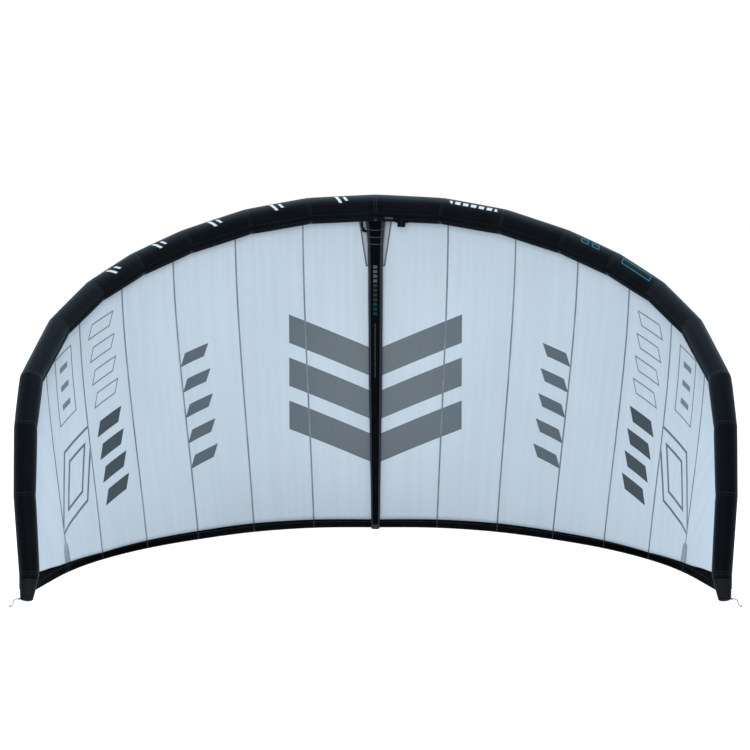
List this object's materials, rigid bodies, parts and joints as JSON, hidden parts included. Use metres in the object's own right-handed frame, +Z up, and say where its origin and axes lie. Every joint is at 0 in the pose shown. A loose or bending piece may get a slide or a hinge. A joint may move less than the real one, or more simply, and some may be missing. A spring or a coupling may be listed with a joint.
{
  "type": "inflatable kitesurfing kite",
  "caption": "Single-strut inflatable kite: an arched air tube with a pale sewn canopy, a black trailing edge band, a centre strut, an inflation valve and short line pigtails at the tips.",
  "frame": {"origin": "middle of the flat foot at the tail of the strut, on the ground", "axes": "+X across the span to the right as seen from the hollow side, +Y from the hollow side to the outer side, +Z up from the trailing edge to the leading edge"},
  "size_m": [3.346, 1.7388, 1.8218],
  "materials": {
    "black_dacron": "woven polyester sailcloth, matt with a soft sheen",
    "tip_reinforcement": "doubled abrasion cloth, matt",
    "canopy_ripstop": "pale blue-grey ripstop, slightly see-through",
    "canopy_reinforcement": "doubled ripstop, a shade darker",
    "pocket_cloth": "grey sailcloth",
    "batten_rod": "glass-fibre strip",
    "webbing": "black webbing",
    "line": "braided grey line",
    "bladder_film": "clear polyurethane film",
    "trailing_edge_dacron": "black sailcloth band",
    "hose": "black hose",
    "valve_plastic": "black moulded plastic",
    "valve_rubber": "soft black rubber"
  },
  "bodies": {
    "airframe": {"leading_edge_panel_left_01": "black_dacron", "leading_edge_panel_left_02": "black_dacron", "leading_edge_panel_left_03": "black_dacron", "leading_edge_panel_left_04": "black_dacron", "leading_edge_panel_left_05": "black_dacron", "leading_edge_panel_left_06": "black_dacron", "leading_edge_panel_left_07": "black_dacron", "leading_edge_panel_left_08": "black_dacron", "leading_edge_panel_left_09": "black_dacron", "leading_edge_panel_left_10": "black_dacron", "tip_cap_left": "tip_reinforcement", "canopy_panel_left_01": "canopy_ripstop", "canopy_panel_left_02": "canopy_ripstop", "canopy_panel_left_03": "canopy_ripstop", "canopy_panel_left_04": "canopy_ripstop", "canopy_panel_left_05": "canopy_ripstop", "canopy_panel_left_06": "canopy_ripstop", "canopy_panel_left_07": "canopy_ripstop", "strut_patch_left": "canopy_reinforcement", "batten_pocket_left": "pocket_cloth", "batten_left": "batten_rod", "tip_loop_left": "webbing", "pigtail_left": "line", "leading_edge_panel_right_01": "black_dacron", "leading_edge_panel_right_02": "black_dacron", "leading_edge_panel_right_03": "black_dacron", "leading_edge_panel_right_04": "black_dacron", "leading_edge_panel_right_05": "black_dacron", "leading_edge_panel_right_06": "black_dacron", "leading_edge_panel_right_07": "black_dacron", "leading_edge_panel_right_08": "black_dacron", "leading_edge_panel_right_09": "black_dacron", "leading_edge_panel_right_10": "black_dacron", "tip_cap_right": "tip_reinforcement", "canopy_panel_right_01": "canopy_ripstop", "canopy_panel_right_02": "canopy_ripstop", "canopy_panel_right_03": "canopy_ripstop", "canopy_panel_right_04": "canopy_ripstop", "canopy_panel_right_05": "canopy_ripstop", "canopy_panel_right_06": "canopy_ripstop", "canopy_panel_right_07": "canopy_ripstop", "strut_patch_right": "canopy_reinforcement", "batten_pocket_right": "pocket_cloth", "batten_right": "batten_rod", "tip_loop_right": "webbing", "pigtail_right": "line", "leading_edge_bladder": "bladder_film", "leading_edge_seam_tape": "black_dacron", "trailing_edge_band": "trailing_edge_dacron", "strut_sleeve": "black_dacron", "strut_bladder": "bladder_film", "strut_tail_cap": "tip_reinforcement", "pump_hose": "hose", "hose_clip_base": "valve_plastic", "valve_base": "valve_plastic"},
    "valve_insert": {"valve_body": "valve_plastic"},
    "valve_flap": {"valve_flap": "valve_rubber"},
    "valve_cap": {"valve_cap": "valve_plastic"},
    "hose_clip_lever": {"hose_clip_lever": "valve_plastic"}
  },
  "joints": [
    {"name": "valve_insert_turn", "type": "hinge", "parent": "airframe", "child": "valve_insert", "pos_m": [0.1371, -0.1331, 1.6758], "axis": [-0.0489, -0.0851, -0.9952], "range_deg": [0, 60]},
    {"name": "valve_cap_hinge", "type": "hinge", "parent": "valve_insert", "child": "valve_cap", "pos_m": [0.1363, -0.1553, 1.662], "axis": [-0.9988, 0.0042, 0.0488], "range_deg": [0, 150]},
    {"name": "valve_flap_hinge", "type": "hinge", "parent": "valve_insert", "child": "valve_flap", "pos_m": [0.1377, -0.144, 1.689], "axis": [0.9988, -0.0042, -0.0488], "range_deg": [0, 50], "stiffness_Nm_per_rad": 0.0006},
    {"name": "hose_clip_pinch", "type": "hinge", "parent": "airframe", "child": "hose_clip_lever", "pos_m": [-0.06499, -0.07553, 1.62897], "axis": [-0.0879, -0.9476, 0.3071], "range_deg": [0, 40]}
  ]
}
